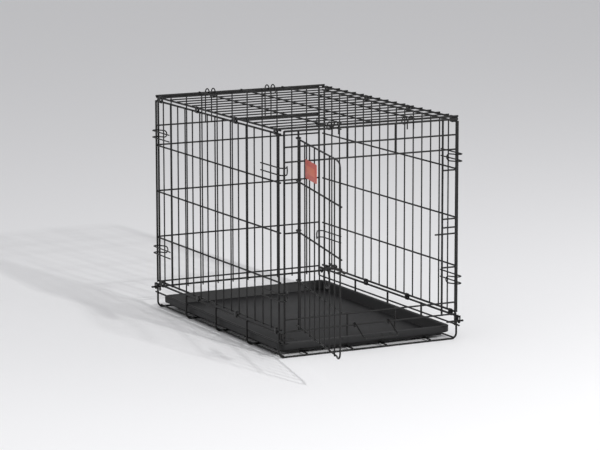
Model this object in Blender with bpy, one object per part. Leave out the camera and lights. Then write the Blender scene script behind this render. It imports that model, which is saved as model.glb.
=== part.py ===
"""Folding wire dog crate with one door, a plastic pan and spring-hook corners.

Frame: metres, +Z up, X across the crate, Y along it with the door end at -Y. The origin is on the
floor under the middle of the crate. The crate stands open and ready for use: its door is swung
out, the latch bolt is drawn back and the pan stop is lifted clear of the pan.
"""

import math

import bmesh
import bpy
from mathutils import Matrix, Vector

# Overall sizes, between the centre lines of the wires at the edges
LENGTH = 0.6096
WIDTH = 0.4191
SIDE_RISE = 0.4110
FOLD_Z = 0.0605

# Wire radii
FRAME_R = 0.0022
ROW_R = 0.0018
BAR_R = 0.0015
HOOK_R = 0.0014
STOP_R = 0.0016
BOLT_R = 0.0020
SIX_SIDED_R = 0.0020

# Shared spacings and fits
BAR_PITCH = 0.0381
WELD_DEPTH = 0.0004
GAP = 0.0003
PIVOT_FIT = 0.00035
OVERHANG = 0.0003
TOP_OVERHANG = 0.0015
HEX = math.cos(math.radians(30))

# Heights of the panel rows: drops are below the top fold line or rail, the sill is above the floor
ROW_DROPS = (0.3107, 0.2059, 0.1011)
HEADER_DROPS = (0.0652, 0.0341)
SILL_ROWS = (0.0583, 0.0838)
FRONT_TOP_DROP = 0.0010
REAR_TOP_DROP = 0.0020

# Base tray
RAIL_DROP = 0.0080
MID_RAIL_Z = 0.0330
UPRIGHT_BEND = 0.0120
FLOOR_SPACES = 4
MIDDLE_RUNNER = 0.0405
RUNNER_INSETS = (0.0616, 0.0056)

# End panels
CURL_CLEAR = 0.0002
FRONT_SIDE_GAP = 0.0006
OPENING_BARS = 1
STUB_COLUMN = 4
STUB_TAIL = 0.0223
REAR_PIVOT_Z = 0.0453
REAR_LOW_ROW_Z = 0.0574
FRONT_PIVOT_Z = 0.0420
FRONT_PIVOT_INNER = 0.0249
PIVOT_REACH = 0.0130
POST_TAIL = 0.0090
BAR_TAIL = 0.0050

# Door
DOOR_OPEN = math.radians(102.5)
DOOR_TOP_DROP = 0.0170
DOOR_LOW_Z = 0.0700
DOOR_EDGE_LAP = 0.0045
DOOR_CORNER = 0.0140
DOOR_JOG = (0.0324, 0.0204)
DOOR_CURL = math.radians(243)

# Latch
BOLT_Z = 0.2403
BOLT_LENGTH = 0.1130
BOLT_TIP_BACK = 0.0044
BOLT_BARS = (7, 8)
BOLT_FIT = 0.0003
STEM_GAP = 0.0038
HANDLE_R = 0.0200
HANDLE_STAND_OFF = 0.0030
KEEPER_Z = (0.2335, 0.2471)
KEEPER_REACH = 0.0170

# Hinge clips
CLIP_LENGTH = 0.0090
CLIP_WALL = 0.0009
CLIP_STEPS = 6
CLIP_BAYS = (0, 5)

# Spring hooks
HOOK_LEGS = 0.0150
HOOK_TOP_DROP = 0.0757
HOOK_LOW_Z = 0.1316
HOOK_BAYS = 2
HOOK_BACK = 0.0230
HOOK_TURN = math.radians(150)
HOOK_BEND = 0.0080
HOOK_BEND_PAST = 0.0012
TOP_HOOK_X = {"front": 0.0890, "rear": 0.0755}
TOP_HOOK_BACK = 0.0150
TOP_HOOK_CLEAR = 0.0017718
TOP_HOOK_BEND_RISE = 0.0008
REAR_HOOK_LEG_DROP = 0.0675
DOOR_HOOK_CLEAR = 0.0007

# Pan and its stop
PAN_SIDE_GAP = 0.0035
PAN_END_GAP = 0.0090
PAN_RIM_Z = 0.0285
PAN_SKIRT_Z = 0.0150
PAN_RIM = 0.0105
PAN_WALL = 0.0020
PAN_SLOPE = 0.0040
PAN_CORNER = 0.0180
STOP_HALF = 0.0405
STOP_LENGTH = 0.0490
STOP_LIFT = math.radians(58)
STOP_FIT = 0.0007

# Name plate on the door
PLATE_SIZE = (0.0870, 0.0390)
PLATE_ALONG = 0.1335
PLATE_DROP = 0.0495
PLATE_THICK = 0.0010
PLATE_CORNER = 0.0030

# Positions that follow from the sizes above
HALF_L = LENGTH / 2
HALF_W = WIDTH / 2
TOP_FOLD_Z = FOLD_Z + SIDE_RISE
TOP_RAIL_Z = TOP_FOLD_Z + RAIL_DROP
BASE_RAIL_Z = FOLD_Z - RAIL_DROP
SIDE_SPACES = round(LENGTH / BAR_PITCH)
END_SPACES = round(WIDTH / BAR_PITCH)
SIDE_PITCH = LENGTH / SIDE_SPACES
END_PITCH = WIDTH / END_SPACES
ROWS = tuple(TOP_FOLD_Z - drop for drop in ROW_DROPS)
HEADER_ROWS = tuple(TOP_RAIL_Z - drop for drop in HEADER_DROPS)
FRONT_TOP_Z = TOP_RAIL_Z - FRONT_TOP_DROP
REAR_TOP_Z = TOP_RAIL_Z - REAR_TOP_DROP
DOOR_TOP_Z = TOP_RAIL_Z - DOOR_TOP_DROP
HOOK_TOP_Z = TOP_FOLD_Z - HOOK_TOP_DROP
TOP_HOOK_BEND_Z = TOP_RAIL_Z + TOP_HOOK_BEND_RISE
TOP_HOOK_LOW_Z = {"front": DOOR_TOP_Z + ROW_R + DOOR_HOOK_CLEAR, "rear": TOP_RAIL_Z - REAR_HOOK_LEG_DROP}
FLOOR_RUNNERS = (MIDDLE_RUNNER, *(HALF_W - inset for inset in RUNNER_INSETS))

X, Y, Z = Vector((1, 0, 0)), Vector((0, 1, 0)), Vector((0, 0, 1))


def welded_apart(radius_a, radius_b):
    """Distance between the centre lines of two crossing wires welded flat to flat."""
    return (radius_a + radius_b) * HEX - WELD_DEPTH


END_STAND_OFF = OVERHANG + GAP + 2 * FRAME_R + 2 * ROW_R + CURL_CLEAR
POST_Y = HALF_L + END_STAND_OFF
HOOK_BEND_Y = POST_Y + HOOK_BEND_PAST
FRONT_POST_X = HALF_W - FRAME_R - FRONT_SIDE_GAP - FRAME_R
REAR_POST_X = HALF_W - FRAME_R - PIVOT_FIT - CLIP_WALL - GAP - FRAME_R
END_ROW_Y = POST_Y + welded_apart(FRAME_R, ROW_R)
END_BAR_Y = END_ROW_Y - welded_apart(BAR_R, ROW_R)
END_FRAME_Y = POST_Y + welded_apart(FRAME_R, FRAME_R)
STUB_Y = END_ROW_Y - welded_apart(ROW_R, ROW_R)
PIVOT_EYE_R = FRAME_R + PIVOT_FIT + BAR_R
TOP_HOOK_Y = END_FRAME_Y + FRAME_R * HEX + GAP + HOOK_R * HEX
TOP_HOOK_BEND = (TOP_HOOK_Y - HALF_L + FRAME_R + HOOK_R + TOP_HOOK_CLEAR) / 2
FLOOR_Z = FRAME_R * HEX
RUNNER_Z = FLOOR_Z + welded_apart(FRAME_R, ROW_R)
PAN_FLOOR_Z = RUNNER_Z + ROW_R * HEX + GAP
HINGE_X = -HALF_W + OPENING_BARS * END_PITCH
HINGE_Y = -POST_Y
DOOR_WIDTH = (END_SPACES - 2 * OPENING_BARS) * END_PITCH
DOOR_ROW_BACK = FRAME_R + GAP + ROW_R
DOOR_BAR_BACK = DOOR_ROW_BACK + welded_apart(BAR_R, ROW_R)
DOOR_EDGE_BACK = DOOR_ROW_BACK + welded_apart(ROW_R, ROW_R)


def clear_scene():
    """Remove every object so that the model starts from nothing."""
    for thing in list(bpy.data.objects):
        bpy.data.objects.remove(thing, do_unlink=True)


def make_material(name, colour, roughness, metallic):
    """A Principled material with one colour."""
    finish = bpy.data.materials.new(name)
    finish.use_nodes = True
    shader = finish.node_tree.nodes["Principled BSDF"]
    shader.inputs["Base Color"].default_value = (*colour, 1.0)
    shader.inputs["Roughness"].default_value = roughness
    shader.inputs["Metallic"].default_value = metallic
    return finish


def arc(centre, start, axis, angle, steps):
    """Points on an arc: start is the first spoke from the centre, turned about axis."""
    spins = (Matrix.Rotation(angle * step / steps, 3, axis) for step in range(steps + 1))
    return [centre + spin @ start for spin in spins]


def rounded(points, radius, steps=3):
    """The path with each inner corner replaced by an arc."""
    path = [points[0]]
    for before, corner, after in zip(points, points[1:], points[2:]):
        arrive, leave = (corner - before).normalized(), (after - corner).normalized()
        turn = arrive.angle(leave)
        axis = arrive.cross(leave).normalized()
        inward = axis.cross(arrive)
        begin = corner - arrive * radius * math.tan(turn / 2)
        path += arc(begin + inward * radius, -inward * radius, axis, turn, steps)
    return path + [points[-1]]


def add_wire(bm, points, radius, facing, closed=False):
    """Sweep a wire along the path with a flat turned to facing: six-sided, or four if it is thin."""
    sides = 6 if radius >= SIX_SIDED_R else 4
    spoke = radius * HEX / math.cos(math.pi / sides)
    count = len(points)
    tangents = []
    for i, point in enumerate(points):
        before = points[i - 1] if i or closed else point
        after = points[(i + 1) % count] if i < count - 1 or closed else point
        tangents.append((after - before).normalized())
    normal = (facing - tangents[0] * facing.dot(tangents[0])).normalized()
    rings = []
    for i, (point, tangent) in enumerate(zip(points, tangents)):
        if i:
            normal = tangents[i - 1].rotation_difference(tangent) @ normal
        across = tangent.cross(normal)
        ring = []
        for side in range(sides):
            angle = math.tau * (side + 0.5) / sides
            ring.append(bm.verts.new(point + spoke * (math.cos(angle) * normal + math.sin(angle) * across)))
        rings.append(ring)
    pairs = list(zip(rings, rings[1:])) + ([(rings[-1], rings[0])] if closed else [])
    for low, high in pairs:
        for side in range(sides):
            follow = (side + 1) % sides
            bm.faces.new((low[side], low[follow], high[follow], high[side]))
    if not closed:
        bm.faces.new(list(reversed(rings[0])))
        bm.faces.new(rings[-1])


def mesh_from(name, build):
    """A mesh filled by a function that draws into a bmesh."""
    bm = bmesh.new()
    build(bm)
    bmesh.ops.recalc_face_normals(bm, faces=bm.faces)
    mesh = bpy.data.meshes.new(name)
    bm.to_mesh(mesh)
    bm.free()
    return mesh


def add_object(name, mesh, finish):
    """An object with one material, shaded smooth between its facets."""
    mesh.materials.clear()
    mesh.materials.append(finish)
    thing = bpy.data.objects.new(name, mesh)
    bpy.context.collection.objects.link(thing)
    return thing


def add_wires(name, wires, finish):
    """One object from wires that don't touch each other: (points, radius, facing)."""
    def draw(bm):
        for points, radius, facing in wires:
            add_wire(bm, points, radius, facing)
    return add_object(name, mesh_from(name, draw), finish)


def weld(name, layers, finish):
    """One solid from crossing layers of wires, joined by Boolean unions."""
    whole = add_wires(name, layers[0], finish)
    others = [add_wires(f"{name}_layer", layer, finish) for layer in layers[1:]]
    for other in others:
        union = whole.modifiers.new("weld", "BOOLEAN")
        union.operation = "UNION"
        union.object = other
    evaluated = whole.evaluated_get(bpy.context.evaluated_depsgraph_get())
    mesh = bpy.data.meshes.new_from_object(evaluated)
    whole.modifiers.clear()
    whole.data = mesh
    for other in others:
        bpy.data.objects.remove(other, do_unlink=True)
    return whole


def straight(start, end, radius, facing):
    """A straight wire."""
    return ([Vector(start), Vector(end)], radius, facing)


def upright(x, y, low, high, radius):
    """A straight wire that stands in an end panel or the door."""
    return straight((x, y, low), (x, y, high), radius, Y)


def side_stations():
    """Places of the bars along the crate, from the door end to the rear."""
    return [-HALF_L + bay * SIDE_PITCH for bay in range(SIDE_SPACES + 1)]


def end_stations():
    """Places of the bars across the crate, from left to right."""
    return [-HALF_W + bay * END_PITCH for bay in range(END_SPACES + 1)]


def clip_stations():
    """Places of the four hinge clips along each fold line, midway between bars."""
    near = [-HALF_L + (bay + 0.5) * SIDE_PITCH for bay in CLIP_BAYS]
    return near + [-place for place in reversed(near)]


def pivot_eye(side, end, z):
    """The hairpin that hangs from a base rail and carries an end panel's pivot rod."""
    x = side * (HALF_W + welded_apart(FRAME_R, BAR_R))
    radius = PIVOT_EYE_R
    middle = Vector((x, end * END_FRAME_Y, z))
    top = Vector((x, end * END_FRAME_Y, BASE_RAIL_Z + FRAME_R * 0.8))
    path = [top + Y * radius] + arc(middle, Y * radius, X, -math.pi, 6) + [top - Y * radius]
    return path, BAR_R, X


def build_base(finish):
    """The floor grid with its low side walls, bent up from the cross wires."""
    upright_x = HALF_W + welded_apart(FRAME_R, FRAME_R)
    upright_top = BASE_RAIL_Z + FRAME_R * 0.3
    cross = []
    for bay in range(FLOOR_SPACES + 1):
        y = -HALF_L + bay * LENGTH / FLOOR_SPACES
        left = [Vector((-upright_x, y, z)) for z in (upright_top, FLOOR_Z)]
        right = [Vector((upright_x, y, z)) for z in (FLOOR_Z, upright_top)]
        path = rounded(left + right, UPRIGHT_BEND)
        cross.append((path, FRAME_R, X))
    cross += [pivot_eye(sx, sy, z) for sx in (-1, 1) for sy, z in ((-1, FRONT_PIVOT_Z), (1, REAR_PIVOT_Z))]
    reach = HALF_L + OVERHANG + FRAME_R
    runners = []
    for x in FLOOR_RUNNERS:
        for sign in (-1, 1):
            runners.append(straight((sign * x, -reach, RUNNER_Z), (sign * x, reach, RUNNER_Z), ROW_R, Z))
    rails = []
    rail_reach = END_FRAME_Y + PIVOT_EYE_R + BAR_R
    for sign in (-1, 1):
        for z, radius in ((BASE_RAIL_Z, FRAME_R), (MID_RAIL_Z, ROW_R)):
            x = sign * (upright_x - welded_apart(FRAME_R, radius))
            rails.append(straight((x, -rail_reach, z), (x, rail_reach, z), radius, X))
    weld("base_tray", [cross, runners + rails], finish)


def build_side(name, sign, finish):
    """A side panel: rails on its two fold lines, rows, and bars on the outside."""
    rails, bars = [], []
    reach = HALF_L + FRAME_R + OVERHANG
    for z, radius in [(FOLD_Z, FRAME_R), (TOP_FOLD_Z, FRAME_R)]:
        rails.append(straight((sign * HALF_W, -reach, z), (sign * HALF_W, reach, z), radius, X))
    bar_x = HALF_W + welded_apart(FRAME_R, BAR_R)
    row_x = bar_x - welded_apart(BAR_R, ROW_R)
    for z in ROWS:
        rails.append(straight((sign * row_x, -reach, z), (sign * row_x, reach, z), ROW_R, X))
    low, high = FOLD_Z - FRAME_R * 0.6, TOP_FOLD_Z + FRAME_R * 0.6
    for y in side_stations():
        edge = abs(y) > HALF_L - SIDE_PITCH / 2
        radius = FRAME_R if edge else BAR_R
        x = HALF_W + welded_apart(FRAME_R, radius)
        bars.append(straight((sign * x, y, low), (sign * x, y, high), radius, X))
    return weld(name, [rails, bars], finish)


def build_top(finish):
    """The top panel: side rails below its cross wires, three long wires above them."""
    reach = HALF_L + FRAME_R + OVERHANG
    width = HALF_W + FRAME_R + TOP_OVERHANG
    rails, cross, ridges = [], [], []
    for sign in (-1, 1):
        x = sign * HALF_W
        rails.append(straight((x, -reach, TOP_RAIL_Z), (x, reach, TOP_RAIL_Z), FRAME_R, Z))
    for y in side_stations():
        edge = abs(y) > HALF_L - SIDE_PITCH / 2
        radius = FRAME_R if edge else BAR_R
        z = TOP_RAIL_Z + welded_apart(FRAME_R, radius)
        cross.append(straight((-width, y, z), (width, y, z), radius, Z))
    ridge_z = TOP_RAIL_Z + welded_apart(FRAME_R, BAR_R) + welded_apart(BAR_R, ROW_R)
    for x in (-HALF_W / 2, 0, HALF_W / 2):
        ridges.append(straight((x, -reach, ridge_z), (x, reach, ridge_z), ROW_R, Z))
    return weld("top_panel", [cross, rails + ridges], finish)


def build_rear(finish):
    """The rear panel with its full-width pivot rod."""
    posts, rows = [], []
    tail = REAR_PIVOT_Z - POST_TAIL
    for sign in (-1, 1):
        posts.append(upright(sign * REAR_POST_X, POST_Y, tail, REAR_TOP_Z, FRAME_R))
    for x in end_stations()[1:-1]:
        low = REAR_PIVOT_Z - BAR_TAIL
        posts.append(upright(x, END_BAR_Y, low, REAR_TOP_Z, BAR_R))
    end = REAR_POST_X + FRAME_R / 2
    for z in (REAR_LOW_ROW_Z, *ROWS, HEADER_ROWS[0]):
        rows.append(straight((-end, END_ROW_Y, z), (end, END_ROW_Y, z), ROW_R, Y))
    rows.append(straight((-end, END_FRAME_Y, REAR_TOP_Z), (end, END_FRAME_Y, REAR_TOP_Z), FRAME_R, Y))
    rod = HALF_W + PIVOT_REACH
    rows.append(straight((-rod, END_FRAME_Y, REAR_PIVOT_Z), (rod, END_FRAME_Y, REAR_PIVOT_Z), FRAME_R, Y))
    return weld("rear_panel", [posts, rows], finish)


def build_front(finish):
    """The door end: posts, header, sill, the opening's edge bars and the two keeper wires."""
    posts, rows = [], []
    end = FRONT_POST_X + FRAME_R / 2
    edge = -HINGE_X
    stations = end_stations()
    low = FRONT_PIVOT_Z - POST_TAIL
    for sign in (-1, 1):
        posts.append(upright(sign * FRONT_POST_X, -POST_Y, low, FRONT_TOP_Z, FRAME_R))
        posts.append(upright(sign * edge, -POST_Y, SILL_ROWS[0] - FRAME_R, FRONT_TOP_Z, FRAME_R))
        stub = sign * stations[-1 - STUB_COLUMN]
        posts.append(upright(stub, -POST_Y, HEADER_ROWS[0] - ROW_R, FRONT_TOP_Z, FRAME_R))
        posts.append(upright(stub, -STUB_Y, SILL_ROWS[0] - STUB_TAIL, SILL_ROWS[1] + ROW_R, ROW_R))
        inner, outer = sign * (HALF_W - FRONT_PIVOT_INNER - FRAME_R), sign * (HALF_W + PIVOT_REACH)
        ends = [(x, -END_FRAME_Y, FRONT_PIVOT_Z) for x in (inner, outer)]
        rows.append(straight(*ends, FRAME_R, Y))
        for z in ROWS:
            rows.append(straight((sign * edge, -END_ROW_Y, z), (sign * end, -END_ROW_Y, z), ROW_R, Y))
    starts = (-HINGE_X - FRAME_R - KEEPER_REACH, -HINGE_X - FRAME_R)
    for start, z in zip(starts, KEEPER_Z):
        rows.append(straight((start, -END_ROW_Y, z), (end, -END_ROW_Y, z), ROW_R, Y))
    for z in (*SILL_ROWS, *HEADER_ROWS):
        rows.append(straight((-end, -END_ROW_Y, z), (end, -END_ROW_Y, z), ROW_R, Y))
    rows.append(straight((-end, -END_FRAME_Y, FRONT_TOP_Z), (end, -END_FRAME_Y, FRONT_TOP_Z), FRAME_R, Y))
    return weld("front_panel", [posts, rows], finish)


def door_place():
    """From the shut door's own frame (along the door, out of its face, up) to the open door."""
    return Matrix.Translation((HINGE_X, HINGE_Y, 0)) @ Matrix.Rotation(-DOOR_OPEN, 4, "Z")


def door_curl(z, back):
    """The end of a door wire curled round the hinge bar, ending where the wire runs straight."""
    spins = arc(Vector((0, 0, z)), Vector((0, -back, 0)), Z, -DOOR_CURL, 8)
    return list(reversed(spins))


def build_door(finish):
    """The door: a one-piece frame and three rows curled round the hinge bar, bars and bolt guides."""
    reach = DOOR_WIDTH + DOOR_EDGE_LAP
    frame = [Vector((0, -DOOR_ROW_BACK, DOOR_TOP_Z))]
    corners = [(reach - DOOR_JOG[0], DOOR_ROW_BACK)]
    corners += [(x, DOOR_EDGE_BACK) for x in (reach - DOOR_JOG[1], reach)]
    frame += [Vector((x, -back, DOOR_TOP_Z)) for x, back in corners]
    frame += [Vector((x, -back, DOOR_LOW_Z)) for x, back in reversed(corners)]
    frame = rounded(frame + [Vector((0, -DOOR_ROW_BACK, DOOR_LOW_Z))], DOOR_CORNER)
    frame = door_curl(DOOR_TOP_Z, DOOR_ROW_BACK)[:-1] + frame + door_curl(DOOR_LOW_Z, DOOR_ROW_BACK)[-2::-1]
    rows = []
    for z in ROWS:
        lifted = z + 2 * ROW_R + GAP
        path = door_curl(lifted, DOOR_ROW_BACK) + [Vector((reach + ROW_R / 2, -DOOR_ROW_BACK, lifted))]
        rows.append((path, ROW_R, Z))
    bars = []
    for bay in range(1, END_SPACES - 2 * OPENING_BARS):
        x = bay * END_PITCH
        bars.append(upright(x, -DOOR_BAR_BACK, DOOR_LOW_Z - ROW_R, DOOR_TOP_Z + ROW_R, BAR_R))
    guides = [bolt_guide(bay * END_PITCH) for bay in BOLT_BARS]
    door = weld("door", [[(frame, ROW_R, Z)] + guides, rows, bars], finish)
    door.data.transform(door_place())
    return door


def bolt_back():
    """How far the bolt runs behind the hinge bar's centre line, so that it passes the opening's edge."""
    return FRAME_R + GAP + BOLT_R


def bolt_guide(x):
    """The hairpin on a door bar that carries the bolt."""
    radius = BOLT_R + BOLT_FIT + BAR_R
    middle = Vector((x, bolt_back(), BOLT_Z))
    foot = Vector((x, -DOOR_BAR_BACK + BAR_R / 2, BOLT_Z))
    path = [foot + Z * radius] + arc(middle, Z * radius, X, -math.pi, 6) + [foot - Z * radius]
    return path, BAR_R, X


def build_bolt(finish):
    """The sliding bolt and the round pull that hangs outside the door."""
    tip = DOOR_WIDTH - BOLT_TIP_BACK
    rod = straight((tip - BOLT_LENGTH, bolt_back(), BOLT_Z), (tip, bolt_back(), BOLT_Z), BOLT_R, Z)
    stem = BOLT_BARS[0] * END_PITCH + STEM_GAP
    out = -DOOR_BAR_BACK - BAR_R - HANDLE_STAND_OFF - BOLT_R
    ring = arc(Vector((stem, out, BOLT_Z - HANDLE_R)), Z * HANDLE_R, Y, math.radians(300), 15)
    path = rounded([Vector((stem, bolt_back(), BOLT_Z)), ring[0], ring[1]], 0.0025, 2)
    bolt = weld("latch_bolt", [[rod], [(path + ring[2:], BOLT_R * 1.001, Z)]], finish)
    bolt.data.transform(door_place())
    return bolt


def plate_outline(width, height, corner, steps=3):
    """Corners of a rectangle with rounded corners, centred on zero."""
    points = []
    for sx, sy, begin in ((1, 1, 0), (-1, 1, 90), (-1, -1, 180), (1, -1, 270)):
        for step in range(steps + 1):
            angle = math.radians(begin + 90 * step / steps)
            points.append((sx * (width / 2 - corner) + corner * math.cos(angle),
                           sy * (height / 2 - corner) + corner * math.sin(angle)))
    return points


def bridge_loops(bm, low, high):
    """Faces between two loops of the same number of vertices."""
    count = len(low)
    for i in range(count):
        follow = (i + 1) % count
        bm.faces.new((low[i], low[follow], high[follow], high[i]))


def build_plate(finish):
    """The name plate on the outside of the door."""
    outline = plate_outline(*PLATE_SIZE, PLATE_CORNER)
    face = -DOOR_BAR_BACK - BAR_R * HEX - GAP

    def draw(bm):
        loops = []
        for y in (face, face - PLATE_THICK):
            places = [(PLATE_ALONG + u, y, DOOR_TOP_Z - PLATE_DROP + v) for u, v in outline]
            loops.append([bm.verts.new(place) for place in places])
        bridge_loops(bm, *loops)
        bm.faces.new(loops[0])
        bm.faces.new(list(reversed(loops[1])))

    plate = add_object("name_plate", mesh_from("name_plate", draw), finish)
    plate.data.transform(door_place())
    return plate


def build_clip(name, x, y, z, finish):
    """A sheet-steel band round two fold rails, one above the other."""
    inner = FRAME_R + PIVOT_FIT

    def draw(bm):
        rings = []
        for end in (y - CLIP_LENGTH / 2, y + CLIP_LENGTH / 2):
            for radius in (inner, inner + CLIP_WALL):
                ring = []
                for middle, begin in ((z + RAIL_DROP, 0), (z, 180)):
                    for step in range(CLIP_STEPS + 1):
                        angle = math.radians(begin + 180 * step / CLIP_STEPS)
                        place = (x + radius * math.cos(angle), end, middle + radius * math.sin(angle))
                        ring.append(bm.verts.new(place))
                rings.append(ring)
        for low, high in ((0, 1), (1, 3), (3, 2), (2, 0)):
            bridge_loops(bm, rings[low], rings[high])

    return add_object(name, mesh_from(name, draw), finish)


def hook_path(legs, start, bend, out, along, turn, back, half):
    """A hairpin hook: two straight legs, a bend round an edge, and a closed end.

    legs is the direction from the middle to the first leg, start the middle of the open ends, bend
    the middle of the bend's centres, out the spoke the bend starts on, along the axis it turns
    about, back the length behind the bend and half the distance from the middle to a leg.
    """
    outer = arc(bend, out, along, turn, 5)
    heading = along.cross(outer[-1] - bend).normalized() * (1 if turn > 0 else -1)
    tip = outer[-1] + heading * (back - half)
    first = [start] + outer + [tip]
    spins = [Matrix.Rotation(math.pi * step / 6, 3, heading.cross(legs)) for step in range(1, 6)]
    around = [tip + spin @ (legs * half) for spin in spins]
    if (around[2] - tip).dot(heading) < 0:
        around = [tip + (tip - point) for point in reversed(around)]
    near, far = [point + legs * half for point in first], [point - legs * half for point in reversed(first)]
    return near + around + far


def build_side_hook(name, side, end, z, finish):
    """A spring hook on a side panel that wraps round the end panel's post."""
    x = HALF_W + welded_apart(FRAME_R, FRAME_R) + (FRAME_R + HOOK_R) * HEX + GAP
    start = Vector((side * x, end * (HALF_L - HOOK_BAYS * SIDE_PITCH), z))
    bend = Vector((side * (x - HOOK_BEND), end * HOOK_BEND_Y, z))
    turn = HOOK_TURN * side * end
    path = hook_path(Z, start, bend, X * side * HOOK_BEND, Z, turn, HOOK_BACK, HOOK_LEGS / 2)
    return add_wires(name, [(path, HOOK_R, Z)], finish)


def build_top_hook(name, x, end, low, finish):
    """A spring hook on an end panel that drops over the top panel's end wire, with its feet at low."""
    start = Vector((x, end * TOP_HOOK_Y, low))
    bend = Vector((x, end * (TOP_HOOK_Y - TOP_HOOK_BEND), TOP_HOOK_BEND_Z))
    path = hook_path(X, start, bend, Y * end * TOP_HOOK_BEND, X, HOOK_TURN * end, TOP_HOOK_BACK, HOOK_LEGS / 2)
    return add_wires(name, [(path, HOOK_R, X)], finish)


def build_pan(finish):
    """The moulded pan: a flat floor, sloping walls and a turned-down rim, all of one thickness."""
    width, length = 2 * (HALF_W - PAN_SIDE_GAP), 2 * (HALF_L - PAN_END_GAP)
    section = [
        (0.0, PAN_SKIRT_Z), (0.0, PAN_RIM_Z), (PAN_RIM, PAN_RIM_Z),
        (PAN_RIM + PAN_SLOPE, PAN_FLOOR_Z + PAN_WALL), (PAN_RIM + PAN_SLOPE - PAN_WALL, PAN_FLOOR_Z),
        (PAN_RIM - PAN_WALL, PAN_RIM_Z - PAN_WALL), (PAN_WALL, PAN_RIM_Z - PAN_WALL),
        (PAN_WALL, PAN_SKIRT_Z),
    ]

    def draw(bm):
        loops = []
        for inset, z in section:
            corner = max(PAN_CORNER - inset, 0.004)
            outline = plate_outline(width - 2 * inset, length - 2 * inset, corner, 4)
            loops.append([bm.verts.new((px, py, z)) for px, py in outline])
        for i, loop in enumerate(loops):
            if i == 3:
                bm.faces.new(loop)
                bm.faces.new(list(reversed(loops[4])))
            else:
                bridge_loops(bm, loop, loops[(i + 1) % len(loops)])

    return add_object("pan", mesh_from("pan", draw), finish)


def build_stop(finish):
    """The pan stop: a wire bail that hangs from the sill, drawn lifted clear of the pan."""
    ring = ROW_R + STOP_FIT + STOP_R
    swing = Matrix.Translation((0, -END_ROW_Y, SILL_ROWS[0])) @ Matrix.Rotation(-STOP_LIFT, 4, "X")
    sides = []
    for sign in (-1, 1):
        curl = arc(Vector((sign * STOP_HALF, 0, 0)), Vector((0, -ring, 0)), X, -math.radians(250), 7)
        sides.append(list(reversed(curl)))
    low = [Vector((sign * STOP_HALF, -ring, -STOP_LENGTH)) for sign in (-1, 1)]
    middle = rounded([sides[0][-1], low[0], low[1], sides[1][-1]], 0.006)
    path = sides[0][:-1] + middle + list(reversed(sides[1][:-1]))
    stop = add_wires("pan_stop", [(path, STOP_R, X)], finish)
    stop.data.transform(swing)
    return stop


def build_hardware(steel, zinc):
    """The clips on the fold lines, the rod clips and the spring hooks."""
    for side, x in (("left", -HALF_W), ("right", HALF_W)):
        for number, y in enumerate(clip_stations(), 1):
            build_clip(f"{side}_low_clip_{number}", x, y, BASE_RAIL_Z, zinc)
            build_clip(f"{side}_top_clip_{number}", x, y, TOP_FOLD_Z, zinc)
        for end, direction in (("front", -1), ("rear", 1)):
            for level, z in (("low", HOOK_LOW_Z), ("high", HOOK_TOP_Z)):
                build_side_hook(f"{side}_{end}_{level}_hook", math.copysign(1, x), direction, z, steel)
            hook_x = math.copysign(TOP_HOOK_X[end], x)
            build_top_hook(f"{side}_{end}_top_hook", hook_x, direction, TOP_HOOK_LOW_Z[end], steel)


if __name__ == "__main__":
    clear_scene()
    steel = make_material("coated_steel_wire", (0.02, 0.02, 0.022), 0.45, 0.0)
    clips = make_material("coated_steel_clip", (0.03, 0.03, 0.032), 0.40, 0.0)
    plastic = make_material("black_pan_plastic", (0.015, 0.015, 0.016), 0.55, 0.0)
    plate = make_material("red_name_plate", (0.50, 0.06, 0.03), 0.45, 0.0)
    build_base(steel)
    build_side("left_side_panel", -1, steel)
    build_side("right_side_panel", 1, steel)
    build_top(steel)
    build_rear(steel)
    build_front(steel)
    build_door(steel)
    build_bolt(steel)
    build_plate(plate)
    build_pan(plastic)
    build_stop(steel)
    build_hardware(steel, clips)
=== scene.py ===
"""Looks of a folding wire dog crate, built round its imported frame.

Every length is in metres in the frame's own axes: +Z up, the door end at -Y and the floor at z = 0.
The wires are round, as drawn wire is, and each panel is one piece that stands for its CAD node.
"""

from __future__ import annotations

import logging
import math
from dataclasses import dataclass
from enum import Enum

import bpy
from mathutils import Matrix, Vector

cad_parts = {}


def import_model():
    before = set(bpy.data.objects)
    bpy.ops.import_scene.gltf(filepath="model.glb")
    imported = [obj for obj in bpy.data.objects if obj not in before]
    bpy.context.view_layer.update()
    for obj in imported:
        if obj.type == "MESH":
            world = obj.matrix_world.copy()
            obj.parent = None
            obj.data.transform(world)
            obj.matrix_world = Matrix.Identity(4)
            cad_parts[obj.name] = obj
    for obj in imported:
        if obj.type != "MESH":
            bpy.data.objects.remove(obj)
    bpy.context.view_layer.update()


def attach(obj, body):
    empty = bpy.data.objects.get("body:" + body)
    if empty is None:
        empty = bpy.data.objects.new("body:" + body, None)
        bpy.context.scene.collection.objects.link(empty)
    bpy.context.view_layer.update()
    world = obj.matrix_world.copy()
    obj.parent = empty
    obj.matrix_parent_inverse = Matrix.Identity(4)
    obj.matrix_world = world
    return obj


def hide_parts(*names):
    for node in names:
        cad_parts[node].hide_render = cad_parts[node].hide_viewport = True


LOG = logging.getLogger("crate")

X_AXIS, Y_AXIS, Z_AXIS = Vector((1, 0, 0)), Vector((0, 1, 0)), Vector((0, 0, 1))
HEX = math.cos(math.radians(30))
COAT_ROUGHNESS = 0.25
RUB_SHARE = 0.35
RUB_BAND = (0.64, 0.74)
EASED_END = 0.22
EASED_TILE = 0.25
PAST_RAIL = 0.6
INTO_RAIL = 0.3
EYE_FOOT = 0.8
ALMOST_ROUND = 0.999
CORNER_ANGLE = math.radians(60)
EDGE_ANGLE = math.radians(40)
NEAR = 0.001


class End(Enum):
    """The two ends of the crate, by the sign of y."""

    FRONT = -1
    REAR = 1


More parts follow.
